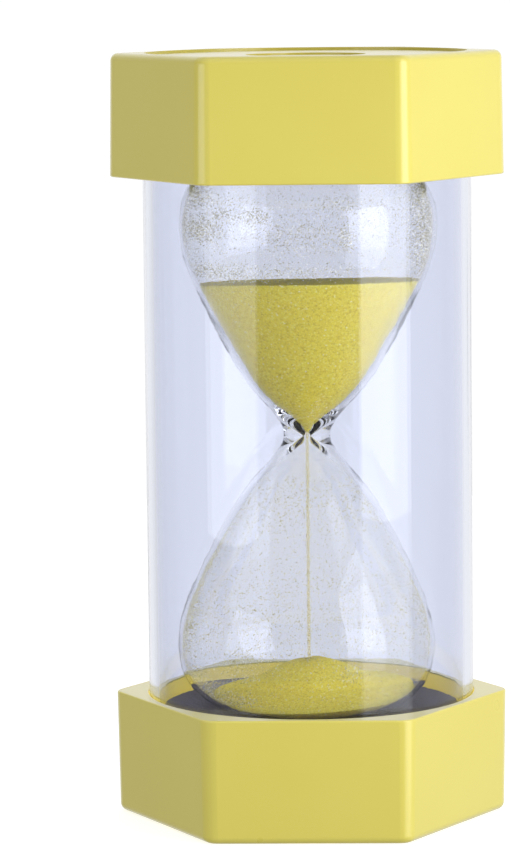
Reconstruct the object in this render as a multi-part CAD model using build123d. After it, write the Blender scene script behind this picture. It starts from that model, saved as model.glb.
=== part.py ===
from build123d import *
import os
from math import cos, radians, sin, tan

# An hourglass timer. A blown glass vessel holds the sand. It is cushioned by a foam pad at each end
# and stands in a clear tube, which is pushed into a hexagonal cap at each end. Millimetres, +Z up.
# The origin is the middle of the lower cap's underside. Flat sides face -Y and +Y, corners -X and +X.
# The upper half mirrors the lower one, apart from the sand, the filling hole and the vessel's lean.

# Both ends of a curve through stations keep the stations' pace, so that it doesn't swing out
EVEN_PACE = (1, 1)

# The whole object
HEIGHT = 160.0
NECK_Z = HEIGHT / 2

# Caps: hexagonal mouldings that narrow a little towards the outer face
CAP_HEIGHT = 25.7
ACROSS_CORNERS = 82.0  # over the rounded corners, at the end that faces the tube
CORNER_RADIUS = 4.0
DRAFT_ANGLE = 0.93
OUTER_EDGE_RADIUS = 1.6
RIM_EDGE_RADIUS = 0.4
SOCKET_RADIUS = 34.4
SOCKET_FLOOR_Z = 8.0  # the tube and the foam pad stand on this floor
FLOOR_THICKNESS = 2.4

# The outer side of a cap: ribs under the floor, hidden by a round disc in a shallow recess
RECESS_RADIUS = 33.5
RECESS_DEPTH = 0.6
DISC_RADIUS = 33.3
DISC_THICKNESS = 1.5
DISC_EDGE_RADIUS = 0.3
DISC_DISH_RADIUS = 12.5
DISC_DISH_DEPTH = 0.4
LEDGE_WIDTH = 2.5  # the disc is glued to this ledge
RIB_THICKNESS = 1.6
RIB_COUNT = 6
HUB_RADIUS = 7.0

# Clear tube
TUBE_RADIUS = 34.2
TUBE_WALL = 2.0

# Glass vessel, from the neck to the end, as stations: (height from the neck, radius). The cone by the
# neck is thick and has its own line outside and inside; the bulb has one line and an even wall.
WAIST_RADIUS = 4.9
CONE_STATIONS = [(1.6, 5.2), (4.0, 6.65), (9.0, 11.1), (18.7, 17.5)]
FUNNEL_STATIONS = [(2.0, 2.05), (4.0, 4.1), (9.0, 9.2), (18.7, 15.9)]
BULB_STATIONS = [(29.4, 22.9), (42.5, 27.0), (52.0, 25.1), (57.4, 18.7)]
GLASS_LENGTH = 59.5  # from the neck to either end
GLASS_WALL = 0.9
BORE_RADIUS = 0.65
BORE_LENGTH = 0.4
FUNNEL_ANGLE = 60  # degrees above the horizontal, where the funnel leaves the bore
VESSEL_LEAN = 0.7  # degrees: in its soft pads the vessel leans, with its lower end towards -X
LEAN_CENTRE_Z = 112.0  # the height at which it is in the middle of the tube
NECK_X = -(LEAN_CENTRE_Z - NECK_Z) * tan(radians(VESSEL_LEAN))

# Filling neck at the vessel's lower end, with its stopper
FILLER_RADIUS = 5.0
FILLER_BORE_RADIUS = 3.8
FILLER_END_Z = 15.0
STOPPER_CLEARANCE = 0.05
STOPPER_FLANGE_THICKNESS = 1.4

# Foam pads
PAD_TOP_Z = 22.6
PAD_RADIUS = 32.0
PAD_HOLE_RADIUS = 7.0

# Sand
SAND_GAP = 0.1  # between the sand and the glass
UPPER_SAND_BOTTOM = 1.0  # above the neck
UPPER_SAND_TOP_Z = 112.2
UPPER_SAND_TILT = 3.1  # degrees: the surface is higher at the front than at the back
UPPER_SAND_ROLL = 0.7  # degrees: and higher on the right than on the left
STREAM_RADIUS = 0.5
HEAP_TOP_Z = 32.3
HEAP_STATIONS = [(3.5, 32.0), (7.0, 30.7), (10.5, 29.0), (14.0, 27.3), (18.0, 26.1), (23.0, 25.3)]
HEAP_ROLL = 3.0  # degrees: the heap's foot is higher on the right than on the left
HEAP_TILT = 1.5  # degrees: and higher at the back than at the front
HEAP_MARGIN = 6.0  # how far the raw mound runs past the glass before it is trimmed


def turned(*edges):
    """The solid that a closed outline in the XZ plane makes when it turns round the Z axis."""
    return revolve(make_face(edges), Axis.Z)


def round_bar(radius, low, high):
    """An upright cylinder on the Z axis between two heights."""
    return Pos(0, 0, low) * Cylinder(radius, high - low, align=(Align.CENTER, Align.CENTER, Align.MIN))


def upside_down(lower_part):
    """The same piece at the other end of the hourglass."""
    return Pos(0, 0, HEIGHT) * mirror(lower_part, Plane.XY)


def hexagonal_blank():
    """The outside of the lower cap, widest at the end that faces the tube."""
    lost_to_rounding = CORNER_RADIUS * (1 / cos(radians(30)) - 1)
    hexagon_radius = ACROSS_CORNERS / 2 + lost_to_rounding
    outline = RegularPolygon(hexagon_radius, 6)
    outline = fillet(outline.vertices(), CORNER_RADIUS)
    blank = extrude(Pos(0, 0, CAP_HEIGHT) * outline, CAP_HEIGHT, dir=(0, 0, -1), taper=DRAFT_ANGLE)
    blank = fillet(blank.faces().sort_by(Axis.Z)[0].edges(), OUTER_EDGE_RADIUS)
    return fillet(blank.faces().sort_by(Axis.Z)[-1].edges(), RIM_EDGE_RADIUS)


def hexagonal_cap():
    """The lower cap: a round socket above a floor, and ribs and a recess for the disc below it."""
    cap = hexagonal_blank() - round_bar(SOCKET_RADIUS, SOCKET_FLOOR_Z, CAP_HEIGHT)
    ledge_z = RECESS_DEPTH + DISC_THICKNESS
    cap -= round_bar(RECESS_RADIUS, 0, ledge_z)
    floor_underside = SOCKET_FLOOR_Z - FLOOR_THICKNESS
    hollow = round_bar(RECESS_RADIUS - LEDGE_WIDTH, ledge_z, floor_underside)
    hollow -= round_bar(HUB_RADIUS, ledge_z, floor_underside)
    rib_length = RECESS_RADIUS
    rib_middle = (ledge_z + floor_underside) / 2
    for index in range(RIB_COUNT):
        rib = Pos(rib_length / 2, 0, rib_middle) * Box(rib_length, RIB_THICKNESS, floor_underside - ledge_z)
        hollow -= Rot(0, 0, index * 360 / RIB_COUNT) * rib
    return cap - hollow


def end_disc():
    """The round cover glued into the lower cap's outer face, with a shallow dish in its middle."""
    disc = round_bar(DISC_RADIUS, RECESS_DEPTH, RECESS_DEPTH + DISC_THICKNESS)
    disc = fillet(disc.faces().sort_by(Axis.Z)[0].edges(), DISC_EDGE_RADIUS)
    return disc - round_bar(DISC_DISH_RADIUS, RECESS_DEPTH, RECESS_DEPTH + DISC_DISH_DEPTH)


def clear_tube():
    """The open-ended tube between the two socket floors."""
    low, high = SOCKET_FLOOR_Z, HEIGHT - SOCKET_FLOOR_Z
    return round_bar(TUBE_RADIUS, low, high) - round_bar(TUBE_RADIUS - TUBE_WALL, low, high)


def outer_wall_line():
    """The outer wall of half a vessel in the XZ plane, from the neck up to the end on the axis."""
    points = [(WAIST_RADIUS, 0, 0)]
    points += [(radius, 0, height) for height, radius in CONE_STATIONS + BULB_STATIONS]
    points += [(0, 0, GLASS_LENGTH)]
    return Spline(*points, tangents=[(0, 0, 1), (-1, 0, 0)], tangent_scalars=EVEN_PACE)


def inner_wall_line(gap):
    """The inner wall of half a vessel, or the line as far as that gap inside it."""
    outer = outer_wall_line()
    points = [(BORE_RADIUS, 0, BORE_LENGTH / 2)]
    shift = gap * cos(radians(45))
    points += [(radius - shift, 0, height + shift) for height, radius in FUNNEL_STATIONS]
    depth = GLASS_WALL + gap
    for height, radius in BULB_STATIONS:
        along = outer.tangent_at(Vector(radius, 0, height))
        points += [(radius - depth * along.Z, 0, height + depth * along.X)]
    points += [(0, 0, GLASS_LENGTH - depth)]
    start_direction = (cos(radians(FUNNEL_ANGLE)), 0, sin(radians(FUNNEL_ANGLE)))
    return Spline(*points, tangents=[start_direction, (-1, 0, 0)], tangent_scalars=EVEN_PACE)


def leaning(upright_piece):
    """The same piece, leaning with the vessel."""
    lean = Pos(0, 0, LEAN_CENTRE_Z) * Rot(0, VESSEL_LEAN, 0) * Pos(0, 0, -LEAN_CENTRE_Z)
    return lean * upright_piece


def half_form(wall_line):
    """Half a vessel's form inside that wall line, from the neck's plane up."""
    start, end = wall_line @ 0, wall_line @ 1
    return turned(wall_line, Line(end, (0, 0, start.Z)), Line((0, 0, start.Z), start))


def whole_form(wall_line):
    """Both halves of a vessel's form, with the neck at its real height."""
    half = half_form(wall_line)
    return Pos(0, 0, NECK_Z) * (half + mirror(half, Plane.XY))


def glass_outside():
    """The vessel's outer form, with the filling neck at its lower end."""
    lower_end_z = NECK_Z - GLASS_LENGTH
    neck = round_bar(FILLER_RADIUS, FILLER_END_Z, lower_end_z + GLASS_WALL)
    return leaning(whole_form(outer_wall_line()) + neck)


def hollow_inside(gap):
    """The space inside the two bulbs, as far as that gap from the glass."""
    return leaning(whole_form(inner_wall_line(gap)))


def glass_vessel():
    """Two blown bulbs joined by a thick neck with a fine bore."""
    bore = round_bar(BORE_RADIUS, NECK_Z - BORE_LENGTH, NECK_Z + BORE_LENGTH)
    filler_bore = round_bar(FILLER_BORE_RADIUS, FILLER_END_Z, NECK_Z - GLASS_LENGTH + 2 * GLASS_WALL)
    return glass_outside() - hollow_inside(0) - leaning(bore) - leaning(filler_bore)


def filler_stopper():
    """The rubber stopper in the filling neck, with a flange over the neck's end."""
    plug_top_z = NECK_Z - GLASS_LENGTH + GLASS_WALL
    plug = round_bar(FILLER_BORE_RADIUS - STOPPER_CLEARANCE, FILLER_END_Z, plug_top_z)
    flange = round_bar(FILLER_RADIUS, FILLER_END_Z - STOPPER_FLANGE_THICKNESS, FILLER_END_Z)
    return leaning(plug + flange)


def foam_ring():
    """The lower foam pad, before the vessel presses its bed into it."""
    pad = round_bar(PAD_RADIUS, SOCKET_FLOOR_Z, PAD_TOP_Z)
    return pad - round_bar(PAD_HOLE_RADIUS, SOCKET_FLOOR_Z, PAD_TOP_Z)


def upper_sand():
    """The sand still to fall, with a worn, slightly sloping top."""
    low = NECK_Z + UPPER_SAND_BOTTOM
    slab = round_bar(ACROSS_CORNERS / 2, 0, HEIGHT)
    above = Pos(0, 0, UPPER_SAND_TOP_Z) * Rot(-UPPER_SAND_TILT, -UPPER_SAND_ROLL, 0) * slab
    return hollow_inside(SAND_GAP) - round_bar(ACROSS_CORNERS / 2, 0, low) - above


def sand_stream():
    """The thread of falling sand, from the bore to the top of the heap."""
    return Pos(NECK_X, 0, 0) * round_bar(STREAM_RADIUS, HEAP_TOP_Z, NECK_Z + UPPER_SAND_BOTTOM)


def lower_sand():
    """The heap that has fallen under the stream: a bell above, and the end of the bulb below."""
    points = [(0, 0, HEAP_TOP_Z)] + [(radius, 0, height) for radius, height in HEAP_STATIONS]
    bell = Spline(*points, tangents=[(1, 0, 0), (1, 0, -0.1)], tangent_scalars=EVEN_PACE)
    rim_radius, rim_z = HEAP_STATIONS[-1]
    edge = (rim_radius + HEAP_MARGIN, 0, rim_z)
    mound = turned(
        bell,
        Line(bell @ 1, edge),
        Line(edge, (edge[0], 0, 0)),
        Line((edge[0], 0, 0), (0, 0, 0)),
        Line((0, 0, 0), bell @ 0),
    )
    # The turn about Z only keeps the mound's seam away from the glass's seam
    lie = Pos(NECK_X, 0, HEAP_TOP_Z) * Rot(HEAP_TILT, -HEAP_ROLL, 45) * Pos(0, 0, -HEAP_TOP_Z)
    return hollow_inside(SAND_GAP) & (lie * mound)


def all_parts():
    """Every piece by name, in place."""
    lower = {
        "cap": hexagonal_cap(),
        "end_disc": end_disc(),
    }
    parts = {f"lower_{name}": piece for name, piece in lower.items()}
    parts.update({f"upper_{name}": upside_down(piece) for name, piece in lower.items()})
    parts["lower_foam_pad"] = foam_ring() - glass_outside()
    parts["upper_foam_pad"] = upside_down(foam_ring()) - glass_outside()
    parts["outer_tube"] = clear_tube()
    parts["glass_vessel"] = glass_vessel()
    parts["filler_stopper"] = filler_stopper()
    parts["upper_sand"] = upper_sand()
    parts["sand_stream"] = sand_stream()
    parts["lower_sand"] = lower_sand()
    return parts


os.makedirs("parts", exist_ok=True)
for name, piece in all_parts().items():
    export_step(piece, f"parts/{name}.step")
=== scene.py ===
import math

import bmesh
import bpy
import numpy as np
from mathutils import Matrix, Vector

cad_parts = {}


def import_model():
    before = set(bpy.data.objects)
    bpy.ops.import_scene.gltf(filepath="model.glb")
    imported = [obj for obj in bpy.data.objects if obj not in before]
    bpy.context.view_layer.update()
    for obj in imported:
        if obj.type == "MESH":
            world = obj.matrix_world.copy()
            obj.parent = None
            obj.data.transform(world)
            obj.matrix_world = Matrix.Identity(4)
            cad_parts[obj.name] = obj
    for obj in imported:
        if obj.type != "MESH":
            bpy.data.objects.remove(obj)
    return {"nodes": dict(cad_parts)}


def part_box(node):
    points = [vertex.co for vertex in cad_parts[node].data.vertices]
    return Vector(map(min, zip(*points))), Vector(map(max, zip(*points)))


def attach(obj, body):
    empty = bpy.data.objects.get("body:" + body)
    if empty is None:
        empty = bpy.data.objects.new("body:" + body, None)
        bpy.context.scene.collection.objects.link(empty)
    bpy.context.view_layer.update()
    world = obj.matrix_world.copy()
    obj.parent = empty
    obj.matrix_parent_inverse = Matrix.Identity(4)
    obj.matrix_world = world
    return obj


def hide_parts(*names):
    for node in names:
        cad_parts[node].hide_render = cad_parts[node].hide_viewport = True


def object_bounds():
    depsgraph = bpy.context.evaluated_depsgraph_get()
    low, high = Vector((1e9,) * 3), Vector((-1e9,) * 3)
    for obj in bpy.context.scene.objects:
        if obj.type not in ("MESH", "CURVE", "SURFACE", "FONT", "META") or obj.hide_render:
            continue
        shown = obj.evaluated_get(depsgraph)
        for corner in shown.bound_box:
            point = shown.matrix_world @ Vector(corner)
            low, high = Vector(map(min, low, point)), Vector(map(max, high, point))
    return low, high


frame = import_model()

# Looks for the hourglass timer. Metres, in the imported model's frame: +Z up, front towards -Y.
cad_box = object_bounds()
MM = 0.001

# ---------------------------------------------------------------- sizes, read from the frame
tube_low, tube_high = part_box("outer_tube")
cap_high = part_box("lower_cap")[1]
pad_low, pad_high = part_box("lower_foam_pad")
vessel_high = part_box("glass_vessel")[1]
upper_sand_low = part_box("upper_sand")[0]
stopper_low, stopper_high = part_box("filler_stopper")

HEIGHT = cad_box[1].z
NECK_Z = HEIGHT / 2
TUBE_RADIUS = tube_high.x
TUBE_WALL = 2.0 * MM
TUBE_EASE = 0.25 * MM
CAP_TOP = cap_high.z
SOCKET_GAP = 0.2 * MM
SOCKET_RADIUS = TUBE_RADIUS + SOCKET_GAP
PAD_RADIUS = pad_high.x
PAD_TOP = pad_high.z
BULB_RADIUS = vessel_high.x

# The vessel's wall, from the neck to the end, as (height from the neck, radius) in millimetres. The
# cone by the neck has its own line outside and inside; the bulb has one line and an even wall.
WAIST_RADIUS = 4.9 * MM
CONE_STATIONS = [(1.6, 5.2), (4.0, 6.65), (9.0, 11.1), (18.7, 17.5)]
FUNNEL_STATIONS = [(2.0, 2.05), (4.0, 4.1), (9.0, 9.2), (18.7, 15.9)]
BULB_STATIONS = [(29.4, 22.9), (42.5, 27.0), (52.0, 25.1), (57.4, 18.7)]
GLASS_LENGTH = 59.5 * MM
GLASS_WALL = 0.9 * MM
BORE_RADIUS = 0.65 * MM
BORE_HALF = 0.2 * MM
FILLER_RADIUS = 5.0 * MM
FILLER_BORE = 3.8 * MM
FUNNEL_START = (0.5, 0.866)
FUNNEL_GAP_SHARE = 0.7
WOBBLE_DEPTH = 0.02 * MM
WOBBLE_FADE = 5 * MM
STOPPER_FLANGE = 1.4 * MM
PAD_HOLE_RADIUS = 7.0 * MM

# The vessel leans in its soft pads, with its lower end towards -X
VESSEL_LEAN = math.radians(0.7)
LEAN_CENTRE_Z = 112 * MM
NECK_X = -(LEAN_CENTRE_Z - NECK_Z) * math.tan(VESSEL_LEAN)

# Sand. The heap's stations are (radius, height) and sizes of grains are radii, in millimetres.
SAND_GAP = 0.06 * MM
SAND_UNEVEN = 0.06 * MM
UPPER_SAND_BOTTOM = upper_sand_low.z
UPPER_SAND_TOP = 112.2 * MM
UPPER_SAND_TILT = math.radians(3.1)
UPPER_SAND_ROLL = math.radians(0.7)
HEAP_TOP = 32.3 * MM
HEAP_STATIONS = [(3.5, 32.0), (7.0, 30.7), (10.5, 29.0), (14.0, 27.3), (18.0, 26.1), (23.0, 25.3)]
HEAP_FOOT = (0.9987, -0.05)
HEAP_LUMPS_END = 22 * MM
HEAP_LUMPS_FADE = 6 * MM
HEAP_ROLL = math.radians(3.0)
HEAP_TILT = math.radians(1.5)
STREAM_RADIUS = 0.5 * MM
STREAM_CORE = 0.34 * MM
STREAM_GRAINS = 2300
STREAM_GRAIN_SIZES = (0.07, 0.11)

# Dust: grains of sand on the inside of the glass
DUST_GAP = 0.08 * MM
DUST_SIZES = (0.09, 0.17)


# ---------------------------------------------------------------- mesh helpers
def smooth_line(points, start, end, steps):
    """The CAD's kind of spline through the points: smooth to the second derivative, with its length
    as its parameter. start and end are its unit directions there, and steps the number of spans."""
    p = np.array(points, float)
    h = np.linalg.norm(np.diff(p, axis=0), axis=1)
    count = len(p)
    a, b = np.zeros((count, count)), np.zeros((count, 2))
    a[0, 0] = a[-1, -1] = 1
    b[0], b[-1] = start, end
    for i in range(1, count - 1):
        a[i, i - 1], a[i, i + 1] = 1 / h[i - 1], 1 / h[i]
        a[i, i] = 2 * (1 / h[i - 1] + 1 / h[i])
        b[i] = 3 * ((p[i] - p[i - 1]) / h[i - 1] ** 2 + (p[i + 1] - p[i]) / h[i] ** 2)
    d = np.linalg.solve(a, b)
    along = np.concatenate([[0], np.cumsum(h)])
    out = []
    for u in np.linspace(0, along[-1], steps + 1):
        i = min(int(np.searchsorted(along, u, side="right")) - 1, count - 2)
        t = (u - along[i]) / h[i]
        out.append(
            (2 * t**3 - 3 * t**2 + 1) * p[i] + (t**3 - 2 * t**2 + t) * h[i] * d[i]
            + (3 * t**2 - 2 * t**3) * p[i + 1] + (t**3 - t**2) * h[i] * d[i + 1]
        )
    return np.array(out)


def inward(line):
    """Unit directions pointing in from a wall line that runs from the neck to the end."""
    along = np.gradient(line, axis=0)
    along /= np.linalg.norm(along, axis=1)[:, None]
    return np.stack([-along[:, 1], along[:, 0]], axis=1)


def new_object(name, verts, faces, material, smooth=True):
    """A mesh object with one material, put in the scene."""
    mesh = bpy.data.meshes.new(name)
    mesh.from_pydata([tuple(v) for v in verts], [], faces)
    mesh.update()
    mesh.materials.append(material)
    mesh.polygons.foreach_set("use_smooth", [smooth] * len(mesh.polygons))
    obj = bpy.data.objects.new(name, mesh)
    bpy.context.scene.collection.objects.link(obj)
    return obj


def turned(line, segments, wobble=None):
    """Vertices and faces of a profile of (radius, height) turned round Z. A radius of zero closes
    that end with one vertex. wobble(angles, height) gives a change of radius for every point, which
    fades out by the axis."""
    on_axis = 1e-9
    verts, rows = [], []
    angles = np.arange(segments) * 2 * math.pi / segments
    for radius, height in line:
        if radius < on_axis:
            rows.append([len(verts)])
            verts.append((0, 0, height))
            continue
        r = radius + (wobble(angles, height) * min(1, radius / WOBBLE_FADE) if wobble else 0)
        rows.append(list(range(len(verts), len(verts) + segments)))
        verts += list(zip(r * np.cos(angles), r * np.sin(angles), [height] * segments))
    faces = []
    for low, high in zip(rows, rows[1:]):
        for i in range(segments):
            j = (i + 1) % segments
            if len(low) == 1:
                faces.append((low[0], high[j], high[i]))
            elif len(high) == 1:
                faces.append((low[i], low[j], high[0]))
            else:
                faces.append((low[i], low[j], high[j], high[i]))
    return verts, faces


def leaning(points):
    """The points of an upright vessel part, leaning with the vessel."""
    p = np.array(points, float)
    x, above = p[:, 0].copy(), p[:, 2] - LEAN_CENTRE_Z
    p[:, 0] = x * math.cos(VESSEL_LEAN) + above * math.sin(VESSEL_LEAN)
    p[:, 2] = LEAN_CENTRE_Z - x * math.sin(VESSEL_LEAN) + above * math.cos(VESSEL_LEAN)
    return p


# ---------------------------------------------------------------- shader helpers
def linear(r, g, b):
    """A colour given in 0-255 screen values as Blender's linear one."""
    return tuple(((c / 255 + 0.055) / 1.055) ** 2.4 for c in (r, g, b)) + (1,)


class Tree:
    """A material's node tree, with short calls to add and join nodes."""

    def __init__(self, name):
        self.material = bpy.data.materials.new(name)
        self.material.use_nodes = True
        self.nodes = self.material.node_tree.nodes
        self.links = self.material.node_tree.links
        self.nodes.clear()
        self.output = self.nodes.new("ShaderNodeOutputMaterial")

    def add(self, kind, *, inputs=None, **settings):
        """A node of that kind. An input is a value, or another node's socket to join it to."""
        node = self.nodes.new("ShaderNode" + kind)
        for key, value in settings.items():
            setattr(node, key, value)
        for key, value in (inputs or {}).items():
            socket = node.inputs[key]
            if isinstance(value, bpy.types.NodeSocket):
                self.links.new(value, socket)
            else:
                socket.default_value = value
        return node

    def position(self):
        return self.add("TexCoord").outputs["Object"]

    def noise(self, scale, detail, vector=None):
        node = self.add("TexNoise", inputs={"Vector": vector or self.position(), "Scale": scale,
                                            "Detail": detail})
        return node.outputs["Fac"]

    def cells(self, scale):
        return self.add("TexVoronoi", inputs={"Vector": self.position(), "Scale": scale})

    def math(self, operation, a, b):
        return self.add("Math", operation=operation, inputs={0: a, 1: b}).outputs[0]

    def ramp(self, value, stops):
        """A colour, or a grey given as one number, for each place along the value."""
        node = self.add("ValToRGB", inputs={"Fac": value})
        ramp = node.color_ramp
        while len(ramp.elements) < len(stops):
            ramp.elements.new(0.5)
        for element, (place, colour) in zip(ramp.elements, stops):
            element.position = place
            element.color = colour if isinstance(colour, tuple) else (colour,) * 3 + (1,)
        return node.outputs["Color"]

    def span(self, value, low, high):
        """A 0-1 value stretched to run from low to high."""
        return self.add("MapRange", inputs={"Value": value, "To Min": low, "To Max": high}).outputs[0]

    def mix(self, share, a, b):
        """Colour a where share is 0 and colour b where it is 1."""
        node = self.add("Mix", data_type="RGBA")
        for socket, value in zip((node.inputs[0], node.inputs[6], node.inputs[7]), (share, a, b)):
            if isinstance(value, bpy.types.NodeSocket):
                self.links.new(value, socket)
            else:
                socket.default_value = value
        return node.outputs[2]

    def bump(self, height, strength, distance):
        inputs = {"Height": height, "Strength": strength, "Distance": distance}
        return self.add("Bump", inputs=inputs).outputs[0]

    def principled(self, **inputs):
        named = {key.replace("_", " "): value for key, value in inputs.items()}
        return self.add("BsdfPrincipled", inputs=named).outputs[0]

    def finish(self, shader):
        self.links.new(shader, self.output.inputs["Surface"])
        return self.material

    def open_to_lamps(self, shader, tint):
        """The shader, replaced for lamp and soft light rays by a clear one, so that what is inside
        the glass is lit."""
        path = self.add("LightPath")
        either = self.math("MAXIMUM", path.outputs["Is Shadow Ray"], path.outputs["Is Diffuse Ray"])
        clear = self.add("BsdfTransparent", inputs={"Color": tint})
        mixed = self.add("MixShader", inputs={0: either, 1: shader, 2: clear.outputs[0]})
        return mixed.outputs[0]


# ---------------------------------------------------------------- materials
# Painted glow for the light that comes through the wall round the lower socket: emission on a thin
# ring round the tube, and only below the cap's top edge
PAINTED_SOCKET_GLOW = (0.50, 0.36, 0.04, 1)
GLOW_RING = 0.2 * MM
GLOW_TOP = CAP_TOP - 0.3 * MM


def cap_plastic():
    """Satin yellow plastic, slightly uneven in tone, gloss and surface. The thin wall round the lower
    socket lets some light through, and its inner side has a painted glow for it, by emission."""
    t = Tree("cap_plastic")
    colour = t.mix(t.noise(38, 2), linear(217, 204, 88), linear(221, 209, 97))
    normal = t.bump(t.noise(90, 1), 0.04, 0.0006)
    rough = t.span(t.noise(60, 2), 0.26, 0.31)
    place = t.add("SeparateXYZ", inputs={"Vector": t.position()})
    across = t.add("CombineXYZ", inputs={"X": place.outputs["X"], "Y": place.outputs["Y"]})
    radius = t.add("VectorMath", operation="LENGTH", inputs={0: across.outputs[0]}).outputs["Value"]
    inside = t.math("LESS_THAN", radius, SOCKET_RADIUS + GLOW_RING)
    outside = t.math("GREATER_THAN", radius, SOCKET_RADIUS - GLOW_RING)
    low = t.math("LESS_THAN", place.outputs["Z"], GLOW_TOP)
    glowing = t.math("MULTIPLY", t.math("MULTIPLY", inside, outside), low)
    # Painted glow: emission on the ring inside the lower socket
    glow = t.mix(glowing, (0, 0, 0, 1), PAINTED_SOCKET_GLOW)
    return t.finish(t.principled(Base_Color=colour, Roughness=rough, IOR=1.53, Normal=normal,
                                 Coat_Weight=0.8, Coat_Roughness=0.2, Coat_IOR=1.6,
                                 Emission_Color=glow, Emission_Strength=1.0))


def tube_acrylic():
    """Clear acrylic with a lavender cast and the faint lengthwise lines of an extruded tube."""
    t = Tree("tube_acrylic")
    place = t.add("Mapping", inputs={"Vector": t.position(), "Scale": (1, 1, 0.02)}).outputs[0]
    lines = t.noise(260, 2, place)
    normal = t.bump(lines, 0.05, 0.0005)
    glass = t.principled(Base_Color=(0.855, 0.880, 0.975, 1), Roughness=0.0, IOR=1.49,
                         Specular_Tint=(0.90, 0.93, 1.0, 1), Transmission_Weight=1.0, Normal=normal)
    return t.finish(t.open_to_lamps(glass, (0.95, 0.955, 0.985, 1)))


def vessel_glass():
    """Blown glass, nearly colourless, with slow waves in its surface."""
    t = Tree("vessel_glass")
    waves = t.noise(70, 2)
    normal = t.bump(waves, 0.08, 0.0012)
    glass = t.principled(Base_Color=(0.995, 0.995, 0.985, 1), Roughness=0.0, IOR=1.5,
                         Transmission_Weight=1.0, Normal=normal)
    return t.finish(t.open_to_lamps(glass, (0.98, 0.985, 0.98, 1)))


def sand_grains():
    """Fine yellow sand, slightly translucent: grain-sized cells that differ in tone. The palest few
    are painted near white as glints, and are glossier too.
    """
    t = Tree("sand")
    grain = t.cells(3600)
    tone_of_grain = t.add("SeparateColor", inputs={"Color": grain.outputs["Color"]})
    # The last stops paint the palest grains near white as glints; the roughness below gives them real
    # gloss
    colour = t.ramp(tone_of_grain.outputs[0], [
        (0.0, linear(212, 185, 54)),
        (0.20, linear(242, 219, 68)),
        (0.80, linear(252, 234, 82)),
        (0.975, linear(254, 243, 125)),
        (1.0, linear(255, 253, 215))])
    colour = t.mix(t.span(t.noise(90, 3), 0.0, 0.35), colour, linear(241, 218, 64))
    rounded = t.math("SUBTRACT", 1.0, grain.outputs["Distance"])
    normal = t.bump(rounded, 0.4, 0.0002)
    rough = t.ramp(tone_of_grain.outputs[1], [(0.0, 0.75), (0.93, 0.6), (0.985, 0.25)])
    return t.finish(t.principled(Base_Color=colour, Roughness=rough, IOR=1.5, Normal=normal,
                                 Subsurface_Weight=0.35, Subsurface_Scale=0.003,
                                 Subsurface_Radius=(1.0, 0.8, 0.25)))


def dust_grains(name, painted_shade_tone, own_tone, bright, painted_glow=0.0, cover=1.0):
    """Single grains: some in a painted shade, some in their own tone, some bright as a painted
    highlight. The bright ones can also get a painted glow, by emission, for the light that comes
    through them; cover is how much of what lies behind they hide."""
    t = Tree(name)
    grain = t.add("NewGeometry").outputs["Random Per Island"]
    # Lit and shaded copies of one grain colour: a painted shade, the grain's own tone, a bright painted
    # highlight
    colour = t.ramp(grain, [(0.0, painted_shade_tone), (0.30, own_tone), (0.60, own_tone), (0.72, bright)])
    colour = t.mix(t.span(t.noise(9000, 2), 0.0, 0.3), colour, own_tone)
    # Painted glow on the bright grains, by emission
    painted_glow_colour = t.ramp(grain, [(0.66, 0.0), (0.74, painted_glow)])
    return t.finish(t.principled(Base_Color=colour, Roughness=0.6, IOR=1.5, Alpha=cover,
                                 Emission_Color=painted_glow_colour, Emission_Strength=1.0))


def pad_foam():
    """Dark closed-cell foam with small pores."""
    t = Tree("pad_foam")
    pores = t.cells(1500)
    colour = t.mix(t.span(t.noise(2600, 3), 0, 1), linear(70, 66, 78), linear(98, 93, 105))
    normal = t.bump(pores.outputs["Distance"], 0.5, 0.0004)
    return t.finish(t.principled(Base_Color=colour, Roughness=0.9, Normal=normal))


def stopper_rubber():
    """Matt black rubber."""
    t = Tree("stopper_rubber")
    normal = t.bump(t.noise(3000, 3), 0.3, 0.0001)
    colour = t.mix(t.noise(500, 2), linear(38, 38, 40), linear(52, 52, 54))
    return t.finish(t.principled(Base_Color=colour, Roughness=0.7, Normal=normal))


cap_material = cap_plastic()
tube_material = tube_acrylic()
glass_material = vessel_glass()
sand_material = sand_grains()
# Tones: painted shade, the grains' own tone, painted highlight; the upper bright grains get a painted
# glow
upper_dust_material = dust_grains("sand_dust_upper", linear(126, 118, 88), linear(212, 204, 164),
                                  linear(255, 254, 244), painted_glow=0.35)
lower_dust_material = dust_grains("sand_dust_lower", linear(146, 136, 78), linear(218, 208, 124),
                                  linear(255, 253, 232))
stream_material = dust_grains("sand_stream", linear(206, 186, 84), linear(236, 220, 120),
                              linear(255, 246, 170), cover=0.2)
foam_material = pad_foam()
rubber_material = stopper_rubber()


# ---------------------------------------------------------------- the object's pieces
rng = np.random.default_rng(20)


def place(obj, node, slot):
    """The piece is attached to the root body and stands for that CAD node, if any, which is hidden. slot
    is not used.
    """
    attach(obj, "root")
    if node:
        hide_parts(node)


def dress_caps():
    """The caps and discs keep their CAD meshes and get the plastic."""
    for node in ("lower_cap", "upper_cap", "lower_end_disc", "upper_end_disc"):
        frame["nodes"][node].data.materials.clear()
        frame["nodes"][node].data.materials.append(cap_material)


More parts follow.
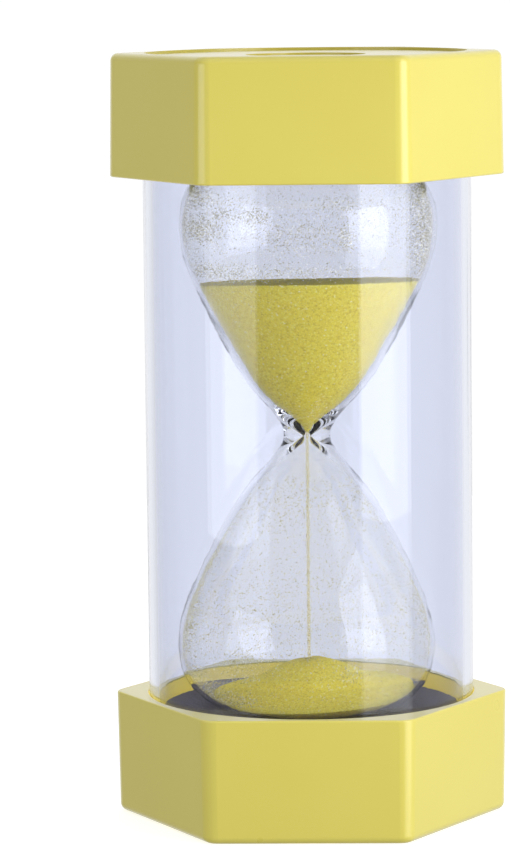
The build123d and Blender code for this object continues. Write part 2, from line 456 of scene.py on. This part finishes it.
def outer_tube():
    """The clear tube, as a ring profile with eased ends."""
    ease = TUBE_EASE
    low, high = tube_low.z, tube_high.z
    outer, inner = TUBE_RADIUS, TUBE_RADIUS - TUBE_WALL
    upwards = np.linspace(low, high, 26)[1:-1]
    downwards = np.linspace(high, low, 26)[1:-1]
    section = [(inner, low + ease), (inner + ease, low), (outer - ease, low), (outer, low + ease)]
    section += [(outer, z) for z in upwards]
    section += [(outer, high - ease), (outer - ease, high), (inner + ease, high), (inner, high - ease)]
    section += [(inner, z) for z in downwards]
    section.append(section[0])
    verts, faces = turned(section, 360)
    obj = new_object("clear_tube", verts, faces, tube_material)
    close_ring(obj)
    place(obj, "outer_tube", "tube_acrylic")


def close_ring(obj):
    """Joins the last row of a closed section to its first, and turns every face outwards."""
    bm = bmesh.new()
    bm.from_mesh(obj.data)
    bmesh.ops.remove_doubles(bm, verts=bm.verts, dist=1e-7)
    bmesh.ops.recalc_face_normals(bm, faces=bm.faces)
    bm.to_mesh(obj.data)
    bm.free()


def outer_wall():
    """The vessel's outer wall from the neck's plane to its end, as (radius, height from the neck)."""
    points = [(WAIST_RADIUS, 0)]
    points += [(radius * MM, height * MM) for height, radius in CONE_STATIONS + BULB_STATIONS]
    points.append((0, GLASS_LENGTH))
    return smooth_line(points, (0, 1), (-1, 0), 400)


def inner_wall(gap=0.0):
    """The inside of the same wall, or a line that far inside it."""
    outer = outer_wall()
    direction = inward(outer)
    points = [(BORE_RADIUS - gap, BORE_HALF)]
    shift = FUNNEL_GAP_SHARE * gap
    points += [(radius * MM - shift, height * MM + shift) for height, radius in FUNNEL_STATIONS]
    for height, radius in BULB_STATIONS:
        i = int(np.argmin(np.hypot(outer[:, 0] - radius * MM, outer[:, 1] - height * MM)))
        points.append(tuple(outer[i] + (GLASS_WALL + gap) * direction[i]))
    points.append((0, GLASS_LENGTH - GLASS_WALL - gap))
    return smooth_line(points, FUNNEL_START, (-1, 0), 200)


def glass_wobble(seed):
    """Slow changes of radius round and along blown glass."""
    draw = np.random.default_rng(seed)
    waves = []
    for _ in range(5):
        around, phase = draw.integers(2, 6), draw.uniform(0, 6.28)
        upward, start = draw.uniform(60, 190), draw.uniform(0, 6.28)
        waves.append((around, phase, upward, start))

    def wobble(angles, height):
        total = 0
        for around, phase, upward, start in waves:
            total = total + np.sin(around * angles + phase) * math.sin(upward * height + start)
        return total * WOBBLE_DEPTH
    return wobble


def glass_vessel():
    """One closed skin: down the outside from the upper end, round the filling neck's rim, and up the
    inside."""
    outer, inner = outer_wall()[::2], inner_wall()
    up_out = [(r, NECK_Z + h) for r, h in outer]
    down_out = [(r, NECK_Z - h) for r, h in outer[1:] if r > FILLER_RADIUS]
    up_in = [(r, NECK_Z + h) for r, h in inner]
    down_in = [(r, NECK_Z - h) for r, h in inner if r > FILLER_BORE or h < GLASS_LENGTH / 2]
    filler_end = stopper_low.z + STOPPER_FLANGE
    line = list(reversed(up_out)) + down_out
    line += [(FILLER_RADIUS, down_out[-1][1]), (FILLER_RADIUS, filler_end), (FILLER_BORE, filler_end)]
    line += [(FILLER_BORE, down_in[-1][1])] + list(reversed(down_in)) + up_in
    verts, faces = turned(line, 220, glass_wobble(3))
    obj = new_object("glass_vessel_blown", leaning(verts), faces, glass_material)
    close_ring(obj)
    place(obj, "glass_vessel", "vessel_glass")


def sand_body(name, node, wall, top):
    """Sand that lies on the glass, given as (radius, height) from its lowest place outwards, and
    ends above in the surface top(x, y), made uneven by its grains."""
    segments, rings = 300, 130
    radii, heights = wall[:, 0], wall[:, 1]
    angles = np.arange(segments) * 2 * math.pi / segments
    rim = np.full(segments, radii[-1])
    # Each round brings the rim closer to where the top meets the glass
    for _ in range(12):
        rim = np.interp(top(rim * np.cos(angles), rim * np.sin(angles)), heights, radii)
    middle = float(top(np.zeros(1), np.zeros(1))[0])
    verts, rows = [(0, 0, middle)], [[0]]
    for ring in range(1, rings + 1):
        x, y = rim * ring / rings * np.cos(angles), rim * ring / rings * np.sin(angles)
        uneven = rng.normal(0, SAND_UNEVEN, segments) if ring < rings else 0
        rows.append(list(range(len(verts), len(verts) + segments)))
        verts += list(zip(x, y, top(x, y) + uneven))
    for ring in range(rings - 1, 0, -1):
        r = rim * ring / rings
        rows.append(list(range(len(verts), len(verts) + segments)))
        verts += list(zip(r * np.cos(angles), r * np.sin(angles), np.interp(r, radii, heights)))
    rows.append([len(verts)])
    verts.append((0, 0, heights[0]))
    faces = []
    for inner, outer in zip(rows, rows[1:]):
        for i in range(segments):
            j = (i + 1) % segments
            if len(inner) == 1:
                faces.append((inner[0], outer[i], outer[j]))
            elif len(outer) == 1:
                faces.append((inner[j], inner[i], outer[0]))
            else:
                faces.append((inner[i], outer[i], outer[j], inner[j]))
    obj = new_object(name, leaning(verts), faces, sand_material)
    place(obj, node, "sand")


def upper_sand():
    """The sand still to fall, with a worn, sloping top."""
    line = inner_wall(SAND_GAP)
    line = line[:int(np.argmax(line[:, 0]))]
    wall = np.stack([line[:, 0], NECK_Z + line[:, 1]], axis=1)
    wall = wall[wall[:, 1] > UPPER_SAND_BOTTOM]

    def top(x, y):
        broad = 0.2 * MM * np.sin(x / (9 * MM) + 0.7) * np.cos(y / (11 * MM))
        rise = math.tan(UPPER_SAND_ROLL + VESSEL_LEAN) * x - math.tan(UPPER_SAND_TILT) * y
        return UPPER_SAND_TOP + rise + broad
    sand_body("upper_sand_fill", "upper_sand", wall, top)


def lower_sand():
    """The fallen heap: a bell of sand under the stream, that fills the end of the bulb."""
    line = inner_wall(SAND_GAP)
    line = line[int(np.argmax(line[:, 0])):][::-1]
    wall = np.stack([line[:, 0], NECK_Z - line[:, 1]], axis=1)
    points = [(0, HEAP_TOP)] + [(r * MM, z * MM) for r, z in HEAP_STATIONS]
    bell = smooth_line(points, (1, 0), HEAP_FOOT, 120)
    peak = (LEAN_CENTRE_Z - HEAP_TOP) * math.tan(VESSEL_LEAN) + NECK_X

    def top(x, y):
        radius, angle = np.hypot(x - peak, y), np.arctan2(y, x - peak)
        near_middle = np.clip((HEAP_LUMPS_END - radius) / HEAP_LUMPS_FADE, 0, 1)
        lumps = 0.16 * MM * np.sin(2 * angle + 0.6) * np.sin(radius / (5.5 * MM))
        lumps += 0.09 * MM * np.sin(5 * angle + 2.0) * np.sin(radius / (3.1 * MM))
        rise = math.tan(HEAP_ROLL + VESSEL_LEAN) * (x - peak) + math.tan(HEAP_TILT) * y
        return np.interp(radius, bell[:, 0], bell[:, 1]) + rise + near_middle * lumps
    sand_body("lower_sand_heap", "lower_sand", wall, top)


# One grain: its four corners, for a radius of 1, and its faces
GRAIN = [(0, 0, 1), (0.94, 0, -0.33), (-0.47, 0.82, -0.33), (-0.47, -0.82, -0.33)]
GRAIN_FACES = [(0, 1, 2), (0, 2, 3), (0, 3, 1), (1, 3, 2)]


def grains(places, sizes):
    """Vertices and faces of many little four-sided grains, each turned its own way."""
    turns = np.linalg.qr(rng.normal(size=(len(places), 3, 3)))[0]
    turns[:, :, 0] *= np.linalg.det(turns)[:, None]
    corners = np.einsum("nij,kj->nki", turns, np.array(GRAIN))
    corners = places[:, None, :] + sizes[:, None, None] * corners
    verts = [tuple(v) for v in corners.reshape(-1, 3)]
    faces = [tuple(4 * n + i for i in f) for n in range(len(places)) for f in GRAIN_FACES]
    return verts, faces


def sand_stream():
    """The falling sand: loose grains, a little narrower below, in a mostly see-through thread."""
    rows, sides = 200, 8
    top, low = UPPER_SAND_BOTTOM, HEAP_TOP - 0.1 * MM
    verts, faces = [], []
    for z in np.linspace(top, low, rows):
        for s in range(sides):
            a = 2 * math.pi * s / sides
            r = STREAM_CORE * rng.uniform(0.75, 1.25)
            verts.append((NECK_X + r * math.cos(a), r * math.sin(a), z))
    for i in range(rows - 1):
        for s in range(sides):
            t = (s + 1) % sides
            faces.append((i * sides + t, i * sides + s, (i + 1) * sides + s, (i + 1) * sides + t))
    faces.append(tuple(range(sides)))
    faces.append(tuple(reversed(range((rows - 1) * sides, rows * sides))))
    fall = rng.uniform(0, 1, STREAM_GRAINS)
    spread = np.minimum(np.abs(rng.normal(0, 0.6, STREAM_GRAINS)), 0.85) * (1.0 - 0.15 * fall)
    angle = rng.uniform(0, 2 * math.pi, STREAM_GRAINS)
    x = NECK_X + STREAM_RADIUS * spread * np.cos(angle)
    y = STREAM_RADIUS * spread * np.sin(angle)
    z = top + (low - top) * (0.01 + 0.98 * fall)
    sizes = rng.uniform(*STREAM_GRAIN_SIZES, len(z)) * MM
    grain_verts, grain_faces = grains(np.stack([x, y, z], axis=1), sizes)
    faces += [tuple(len(verts) + i for i in f) for f in grain_faces]
    obj = new_object("sand_thread", verts + grain_verts, faces, stream_material, smooth=False)
    place(obj, "sand_stream", "sand")


# Where dust clings, as patches: (direction, height from the neck, half width, half height, share of
# the places there that hold a grain). Directions and widths are in degrees, from the right (+X), and
# the front is -90. Heights are in millimetres.
UPPER_DUST = [
    (-168, 44.5, 12, 3.5, 0.70), (-143, 44.0, 13, 2.4, 0.75), (-125, 47.0, 15, 1.5, 0.55),
    (-113, 47.0, 6, 1.6, 0.90), (-90, 43.0, 18, 3.2, 0.36), (-72, 43.0, 4, 2.6, 0.85),
    (-76, 49.0, 12, 2.2, 0.30), (-18, 44.0, 17, 9.0, 0.75), (-130, 35.5, 30, 1.8, 0.50),
    (-100, 36.0, 40, 1.6, 0.30), (-150, 50.0, 20, 2.0, 0.35), (90, 43.0, 90, 6.0, 0.12),
]
LOWER_DUST = [
    (-178, 33.0, 14, 12.0, 0.90), (-160, 38.0, 14, 5.0, 0.45), (-118, 45.5, 9, 3.6, 0.85),
    (-68, 46.5, 6, 2.2, 0.70), (-136, 52.4, 20, 2.0, 0.95), (-150, 49.0, 18, 2.0, 0.40),
    (-90, 37.0, 60, 13.0, 0.16), (-90, 14.0, 70, 6.0, 0.25), (-10, 36.0, 14, 9.0, 0.35),
    (90, 40.0, 90, 14.0, 0.08),
]
DUST_FLOOR = 0.02


def dust_share(patches, angles, heights):
    """The share of places at those directions and heights that hold a grain."""
    share = np.full(len(angles), DUST_FLOOR)
    for direction, height, half_width, half_height, most in patches:
        turn = (np.degrees(angles) - direction + 180) % 360 - 180
        far = (turn / half_width) ** 2 + ((heights / MM - height) / half_height) ** 2
        share = np.maximum(share, most * np.exp(-far ** 1.5))
    return share


def dust_on_glass(name, upper, patches, lowest, highest, tries, material):
    """Grains that cling to the inside of one bulb, between two heights from the neck."""
    line = inner_wall(DUST_GAP)
    along = np.concatenate([[0], np.cumsum(np.linalg.norm(np.diff(line, axis=0), axis=1))])
    place_along = rng.uniform(0, along[-1], tries)
    radii = np.interp(place_along, along, line[:, 0])
    heights = np.interp(place_along, along, line[:, 1])
    angles = rng.uniform(-math.pi, math.pi, tries)
    # Tries drop with the radius, so that an area holds as many grains near the axis as away from it
    even = rng.uniform(0, BULB_RADIUS, tries) < radii
    held = rng.uniform(0, 1, tries) < dust_share(patches, angles, heights)
    keep = even & held & (heights > lowest) & (heights < highest)
    r, h, a = radii[keep], heights[keep], angles[keep]
    places = np.stack([r * np.cos(a), r * np.sin(a), NECK_Z + (h if upper else -h)], axis=1)
    sizes = rng.uniform(*DUST_SIZES, len(places)) * MM
    verts, faces = grains(leaning(places), sizes)
    obj = new_object(name, verts, faces, material, smooth=False)
    place(obj, None, "sand")


def foam_pads():
    """Each pad: flat, with a softly rounded rim and a bed, where the leaning bulb presses in. Only the
    bed leans: the lean fades out towards the rim, and the side against the cap stays flat."""
    outer = outer_wall()
    for node, name, sign, base in (("lower_foam_pad", "foam_bed_lower", 1, 0.0),
                                   ("upper_foam_pad", "foam_bed_upper", -1, HEIGHT)):
        bed = [(r, h) for r, h in outer[::4] if NECK_Z - h < PAD_TOP and r > PAD_HOLE_RADIUS]
        profile = [(r, NECK_Z - h) for r, h in reversed(bed)]
        lip = 0.6 * MM
        corner = 0.18 * lip
        rim = profile[-1][0] + 0.5 * MM
        profile += [(rim, PAD_TOP)]
        profile += [(r, PAD_TOP) for r in np.linspace(rim + MM, PAD_RADIUS - lip, 14)]
        profile += [(PAD_RADIUS - corner, PAD_TOP - corner), (PAD_RADIUS, PAD_TOP - lip)]
        profile += [(PAD_RADIUS, pad_low.z + lip), (PAD_RADIUS - lip, pad_low.z)]
        profile += [(PAD_HOLE_RADIUS, pad_low.z), profile[0]]
        verts, faces = turned(profile, 200)
        low_side = np.array([z < pad_low.z + MM for _, _, z in verts])
        verts = np.array([(x, y, base + sign * z) for x, y, z in verts])
        radii = np.hypot(verts[:, 0], verts[:, 1])
        share = np.clip((PAD_RADIUS - MM - radii) / (PAD_RADIUS - MM - rim), 0, 1)
        share[low_side] = 0
        verts += share[:, None] * (leaning(verts) - verts)
        obj = new_object(name, verts, faces, foam_material)
        close_ring(obj)
        place(obj, node, "pad_foam")


def filler_stopper():
    """The stopper: a tapered plug with a rounded flange."""
    low, high = stopper_low.z, stopper_high.z
    flange = low + STOPPER_FLANGE
    ease = 0.3 * MM
    plug_low, plug_high = FILLER_BORE - 0.05 * MM, FILLER_BORE - 0.15 * MM
    profile = [(0, low), (FILLER_RADIUS - ease, low), (FILLER_RADIUS, low + ease),
               (FILLER_RADIUS, flange - ease), (FILLER_RADIUS - ease, flange),
               (plug_low, flange), (plug_high, high - ease),
               (plug_high - ease, high), (0, high)]
    verts, faces = turned(profile, 64)
    obj = new_object("rubber_stopper", leaning(verts), faces, rubber_material)
    place(obj, "filler_stopper", "stopper_rubber")


dress_caps()
outer_tube()
glass_vessel()
upper_sand()
lower_sand()
sand_stream()
foam_pads()
filler_stopper()
dust_on_glass("dust_upper", True, UPPER_DUST, 32.5 * MM, 56 * MM, 420000, upper_dust_material)
dust_on_glass("dust_lower", False, LOWER_DUST, 8 * MM, 54.5 * MM, 250000, lower_dust_material)


# ---------------------------------------------------------------- floor, light and camera
FLOOR_RADIUS = 0.5
FLOOR_Z = -0.05 * MM
# Brightness of the white behind, of the studio that reflections see, and of the soft light on the
# object, by direction
BACKDROP = 1.02
STUDIO_FRONT, STUDIO_BACK, STUDIO_RIGHT, STUDIO_TOP = 0.25, 0.93, 0.35, 0.6
AMBIENT_FRONT, AMBIENT_BACK, AMBIENT_LEFT = 0.52, 0.95, 0.80
# (name, centre, width, height, brightness beside the backdrop, seen in reflections), in metres
LAMPS = [
    ("soft_box_right", (0.231, -0.165, 0.145), 0.19, 0.23, 2.4, True),
    ("soft_box_right_low", (0.231, -0.165, -0.018), 0.19, 0.096, 1.3, True),
    ("soft_box_right_high", (0.240, -0.150, 0.360), 0.13, 0.15, 1.2, True),
    ("soft_box_left", (-0.300, -0.230, 0.120), 0.26, 0.22, 1.4, True),
    ("key", (0.80, -0.30, 0.11), 0.6, 0.6, 2.4, False),
    ("low_fill", (0.0, -0.35, 0.07), 0.3, 0.08, 2.5, False),
]


def floor():
    """A round pale floor, bright enough to run into the white behind it."""
    t = Tree("studio_floor")
    colour = t.mix(t.noise(3, 2), (0.55, 0.55, 0.55, 1), (0.57, 0.57, 0.57, 1))
    shader = t.principled(Base_Color=colour, Roughness=0.9, Emission_Color=(1, 1, 1, 1),
                          Emission_Strength=0.72)
    verts, faces = turned([(FLOOR_RADIUS, FLOOR_Z), (0, FLOOR_Z)], 96)
    obj = new_object("floor", verts, [tuple(reversed(f)) for f in faces], t.finish(shader), smooth=False)
    obj.visible_glossy = obj.visible_transmission = obj.visible_diffuse = False


def world():
    """White behind the object and through its glass, with a dim studio in front for reflections and
    a soft even light for everything else."""
    w = bpy.data.worlds.new("studio")
    bpy.context.scene.world = w
    w.use_nodes = True
    nodes, links = w.node_tree.nodes, w.node_tree.links
    nodes.clear()

    def math_node(operation, a, b):
        node = nodes.new("ShaderNodeMath")
        node.operation = operation
        for socket, value in zip(node.inputs, (a, b)):
            if isinstance(value, bpy.types.NodeSocket):
                links.new(value, socket)
            else:
                socket.default_value = value
        return node.outputs[0]

    def stretch(value, low, high, bottom, top):
        node = nodes.new("ShaderNodeMapRange")
        node.interpolation_type = "SMOOTHSTEP"
        links.new(value, node.inputs["Value"])
        for key, number in (("From Min", low), ("From Max", high), ("To Min", bottom), ("To Max", top)):
            node.inputs[key].default_value = number
        return node.outputs[0]

    coords = nodes.new("ShaderNodeTexCoord")
    parts = nodes.new("ShaderNodeSeparateXYZ")
    links.new(coords.outputs["Generated"], parts.inputs[0])
    behind = stretch(parts.outputs["Y"], 0.45, 0.95, STUDIO_FRONT, STUDIO_BACK)
    beside = stretch(parts.outputs["X"], 0.3, 1.0, 0.0, STUDIO_RIGHT)
    above = stretch(parts.outputs["Z"], 0.3, 0.8, 0.0, STUDIO_TOP)
    reflected = math_node("ADD", math_node("ADD", behind, beside), above)
    path = nodes.new("ShaderNodeLightPath")
    bounces = math_node("ADD", path.outputs["Glossy Depth"], path.outputs["Diffuse Depth"])
    straight = math_node("LESS_THAN", bounces, 0.5)
    level = math_node("MAXIMUM", reflected, math_node("MULTIPLY", straight, BACKDROP))
    fill = stretch(parts.outputs["Y"], -0.2, 0.8, AMBIENT_FRONT, AMBIENT_BACK)
    shaded_left = stretch(parts.outputs["X"], -0.9, 0.0, AMBIENT_LEFT, 1.0)
    fill = math_node("MULTIPLY", fill, shaded_left)
    ambient = math_node("MULTIPLY", path.outputs["Is Diffuse Ray"], fill)
    others = math_node("SUBTRACT", 1.0, path.outputs["Is Diffuse Ray"])
    strength = math_node("ADD", math_node("MULTIPLY", level, others), ambient)
    shade = nodes.new("ShaderNodeBackground")
    links.new(strength, shade.inputs["Strength"])
    out = nodes.new("ShaderNodeOutputWorld")
    links.new(shade.outputs[0], out.inputs["Surface"])
    shade.inputs["Color"].default_value = (1, 1, 1, 1)


def lamp(name, centre, width, height, level, glossy):
    """A soft rectangular lamp that the camera doesn't see, aimed level at the object's axis. level is
    its face's brightness beside the white backdrop."""
    data = bpy.data.lights.new(name, "AREA")
    data.shape = "RECTANGLE"
    data.size, data.size_y = width, height
    data.energy = level * math.pi * width * height
    obj = bpy.data.objects.new(name, data)
    obj.location = centre
    aim = Vector((0, 0, centre[2]))
    obj.rotation_euler = (aim - Vector(centre)).to_track_quat("-Z", "Y").to_euler()
    obj.visible_camera = False
    obj.visible_glossy = glossy
    obj.visible_transmission = glossy
    bpy.context.scene.collection.objects.link(obj)


def lights():
    """Soft boxes that show in the glass, and broad lamps for shape that don't."""
    for name, centre, width, height, level, glossy in LAMPS:
        lamp(name, centre, width, height, level, glossy)


CAMERA_PLACE = (18.95 * MM, -861.15 * MM, 181.85 * MM)
CAMERA_LENS = 175.1
CAMERA_SENSOR = 36.0
# Turned to the left, down, and clockwise, in radians
CAMERA_PAN, CAMERA_PITCH, CAMERA_ROLL = -0.035, 0.1154, -0.0104


def camera():
    """The view of the photograph: a little to the right of the object and above it."""
    data = bpy.data.cameras.new("camera")
    data.lens, data.sensor_width = CAMERA_LENS, CAMERA_SENSOR
    obj = bpy.data.objects.new("camera", data)
    bpy.context.scene.collection.objects.link(obj)
    bpy.context.scene.camera = obj
    pan, pitch, roll = CAMERA_PAN, CAMERA_PITCH, CAMERA_ROLL
    ahead = Vector((math.sin(pan) * math.cos(pitch), math.cos(pan) * math.cos(pitch), -math.sin(pitch)))
    right = Vector((math.cos(pan), -math.sin(pan), 0))
    up = right.cross(ahead)
    right_rolled = math.cos(roll) * right + math.sin(roll) * up
    up_rolled = -math.sin(roll) * right + math.cos(roll) * up
    turn = Matrix((right_rolled, up_rolled, -ahead)).transposed()
    obj.matrix_world = Matrix.Translation(CAMERA_PLACE) @ turn.to_4x4()
    data.clip_start, data.clip_end = 0.05, 50


def picture():
    """True colours, and enough bounces to see through all the glass."""
    scene = bpy.context.scene
    scene.view_settings.view_transform = "Standard"
    scene.view_settings.look = "None"
    cycles = scene.cycles
    cycles.max_bounces = 32
    cycles.transmission_bounces = 32
    cycles.glossy_bounces = 12
    cycles.diffuse_bounces = 4
    cycles.transparent_max_bounces = 32
    cycles.caustics_reflective = False
    cycles.caustics_refractive = False
    cycles.use_denoising = True


floor()
world()
lights()
camera()
picture()
